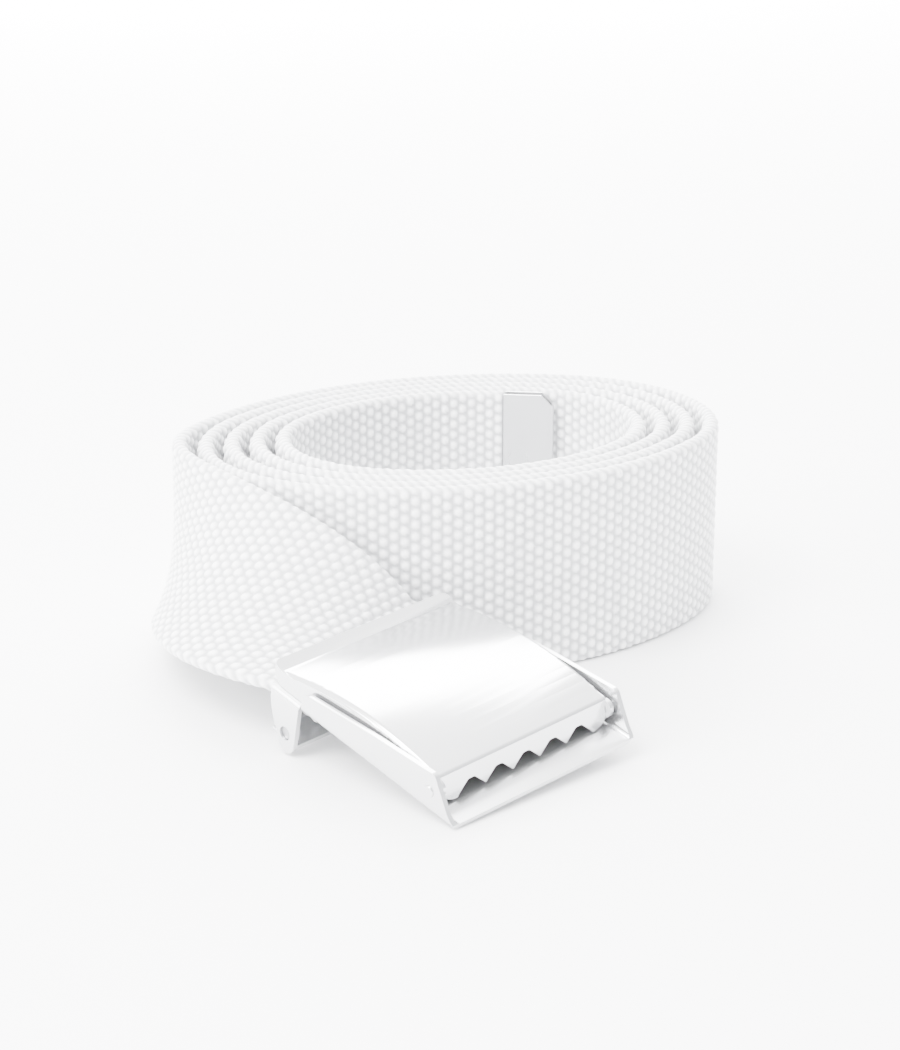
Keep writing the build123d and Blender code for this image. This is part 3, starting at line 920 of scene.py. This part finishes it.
@dataclass
class Metalwork:
    """Buckle base, flip cover, clamp jaw, pins and strap tip, in their plated finishes."""

    finishes: tuple[NickelFinish, ...] = (
        NickelFinish("bright_nickel_cover", gloss=0.10, haze=0.08),
        NickelFinish("bright_nickel_base", gloss=0.16, haze=0.10),
        NickelFinish("bright_nickel_tip", gloss=0.22, haze=0.10, grain=Grain.ACROSS),
        NickelFinish(
            "plain_steel_pins", bright=(0.42, 0.42, 0.43), dull=(0.34, 0.34, 0.35), gloss=0.26
        ),
    )
    plates: tuple[Plating, ...] = (
        Plating("flip_cover", "cover", "cover_metal", "bright_nickel_cover", 0.16),
        Plating("buckle_base", "root", "buckle_metal", "bright_nickel_base", 0.16),
        Plating("clamp_jaw", "jaw", "buckle_metal", "bright_nickel_base", 0.10),
        Plating("tip_cap", "root", "tip_metal", "bright_nickel_tip", 0.10),
        Plating("left_hinge_stub", "root", "pin_metal", "bright_nickel_base", 0.05),
        Plating("right_hinge_stub", "root", "pin_metal", "bright_nickel_base", 0.05),
        Plating("left_jaw_pin", "jaw", "pin_metal", "plain_steel_pins", 0.05),
        Plating("right_jaw_pin", "jaw", "pin_metal", "plain_steel_pins", 0.05),
    )
    merge_reach: float = 0.002
    flat_angle: float = 0.5
    edge_segments: int = 3
    edge_angle: float = 28.0

    def dress(self) -> None:
        """Makes a soft-edged copy of every metal node and plates it."""
        materials = {finish.name: finish.material() for finish in self.finishes}
        for plating in self.plates:
            piece = self._softened(plating)
            piece.data.materials.append(materials[plating.finish])
            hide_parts(plating.node)
            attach(piece, plating.body)
            LOG.info("%s wears %s", piece.name, plating.finish)

    def _softened(self, plating: Plating) -> bpy.types.Object:
        """A merged copy of a node, its sharp edges rounded by a bevel.

        Args:
            plating: the node and how wide its edges' rounding is.

        Returns:
            The new piece, smooth shaded between its hard edges.
        """
        mesh = frame["nodes"][plating.node].data.copy()
        mesh.name = f"plated_{plating.node}"
        mesh.materials.clear()
        work = bmesh.new()
        work.from_mesh(mesh)
        bmesh.ops.remove_doubles(work, verts=work.verts, dist=self.merge_reach * MM)
        bmesh.ops.dissolve_limit(
            work, angle_limit=math.radians(self.flat_angle), verts=work.verts, edges=work.edges
        )
        work.to_mesh(mesh)
        work.free()
        mesh.polygons.foreach_set("use_smooth", np.ones(len(mesh.polygons), bool))
        mesh.set_sharp_from_angle(angle=math.radians(self.edge_angle))
        piece = bpy.data.objects.new(mesh.name, mesh)
        bpy.context.scene.collection.objects.link(piece)
        bevel = piece.modifiers.new("edges", "BEVEL")
        bevel.width = plating.edge * MM
        bevel.segments = self.edge_segments
        bevel.limit_method = "ANGLE"
        bevel.angle_limit = math.radians(self.edge_angle)
        bevel.harden_normals = True
        return piece


# --------------------------------------------------------------------- studio
@dataclass(frozen=True)
class Softbox:
    """A square area light that looks at the belt: its place and size in metres, its power in watts."""

    name: str
    place: tuple[float, float, float]
    size: float
    power: float


@dataclass
class Studio:
    """Pale floor, soft lights and the camera."""

    camera_from_coil: tuple[float, float, float] = (0.0, -465.8, 168.1)
    pitch: float = 18.0
    lens: float = 96.0
    sensor: float = 36.0
    near: float = 0.01
    aim: tuple[float, float, float] = (0.0, 0.0, 0.02)
    floor_reach: float = 6.0
    floor_colour: tuple[float, float, float] = (0.93, 0.93, 0.935)
    floor_roughness: float = 0.75
    sky_strength: float = 6.8
    sky_spread: float = 0.5
    dim_sky: tuple[float, float, float] = (0.40, 0.405, 0.415)
    bright_from: tuple[float, float, float] = (-0.65, 0.40, 0.45)
    softboxes: tuple[Softbox, ...] = (
        Softbox("back_softbox", (-0.05, 1.20, 0.62), 1.2, 100.0),
        Softbox("top_softbox", (-0.45, -0.35, 1.0), 0.6, 36.0),
        Softbox("left_softbox", (-0.85, -0.45, 0.45), 0.5, 18.0),
    )

    def build(self, shift: np.ndarray) -> None:
        """Makes the camera, the floor and the lights.

        Args:
            shift: the coil's own centre in the part's frame, in millimetres.
        """
        self._camera(shift)
        self._floor()
        self._sky()
        for softbox in self.softboxes:
            self._softbox(softbox)

    def _camera(self, shift: np.ndarray) -> None:
        """Long lens, level across and pitched down.

        Args:
            shift: the coil's own centre in the part's frame, in millimetres.
        """
        data = bpy.data.cameras.new("view_camera")
        data.lens = self.lens
        data.sensor_width = self.sensor
        data.sensor_fit = "HORIZONTAL"
        data.clip_start = self.near
        camera = bpy.data.objects.new("view_camera", data)
        camera.location = (np.array(self.camera_from_coil) + shift) * MM
        camera.rotation_euler = (math.radians(90.0 - self.pitch), 0.0, 0.0)
        bpy.context.scene.collection.objects.link(camera)
        bpy.context.scene.camera = camera

    def _floor(self) -> None:
        """Level pale sheet, wide enough to fill every view."""
        corners = np.array([[-1, -1, 0], [1, -1, 0], [1, 1, 0], [-1, 1, 0]]) * self.floor_reach
        floor = Patch(corners, np.arange(4), np.array([4])).mesh_object("floor")
        bench = Bench("pale_floor")
        pale = bench.finish(Base_Color=(*self.floor_colour, 1.0), Roughness=self.floor_roughness)
        floor.data.materials.append(pale)

    def _sky(self) -> None:
        """White surroundings that dim towards the right, the front and below.

        The share of white is a smooth step of the direction's dot product with bright_from,
        from minus sky_spread to plus sky_spread.
        """
        world = bpy.data.worlds.new("white_tent")
        bpy.context.scene.world = world
        world.use_nodes = True
        nodes, links = world.node_tree.nodes, world.node_tree.links
        direction = nodes.new("ShaderNodeTexCoord")
        facing = nodes.new("ShaderNodeVectorMath")
        facing.operation = "DOT_PRODUCT"
        facing.inputs[1].default_value = self.bright_from
        share = nodes.new("ShaderNodeMapRange")
        share.interpolation_type = "SMOOTHSTEP"
        share.inputs["From Min"].default_value = -self.sky_spread
        share.inputs["From Max"].default_value = self.sky_spread
        blend = nodes.new("ShaderNodeMix")
        blend.data_type = "RGBA"
        blend.inputs[6].default_value = (*self.dim_sky, 1.0)
        blend.inputs[7].default_value = (1.0, 1.0, 1.0, 1.0)
        background = nodes["Background"]
        background.inputs["Strength"].default_value = self.sky_strength
        links.new(direction.outputs["Generated"], facing.inputs[0])
        links.new(facing.outputs["Value"], share.inputs["Value"])
        links.new(share.outputs["Result"], blend.inputs[0])
        links.new(blend.outputs[2], background.inputs["Color"])

    def _softbox(self, softbox: Softbox) -> None:
        """Hangs one softbox.

        Args:
            softbox: its place, size and power.
        """
        data = bpy.data.lights.new(softbox.name, "AREA")
        data.size = softbox.size
        data.energy = softbox.power
        lamp = bpy.data.objects.new(softbox.name, data)
        lamp.location = softbox.place
        aim = Vector(self.aim) - Vector(softbox.place)
        lamp.rotation_euler = aim.to_track_quat("-Z", "Y").to_euler()
        bpy.context.scene.collection.objects.link(lamp)


def main() -> None:
    """Builds the belt from the strap to the metalwork, then the studio."""
    logging.basicConfig(level=logging.INFO, format="%(name)s: %(message)s")
    buckle = BuckleFrame()
    webbing = Webbing()
    Studio().build(webbing.shift)
    webbing.build(buckle)
    Metalwork().dress()


if __name__ == "__main__":
    main()
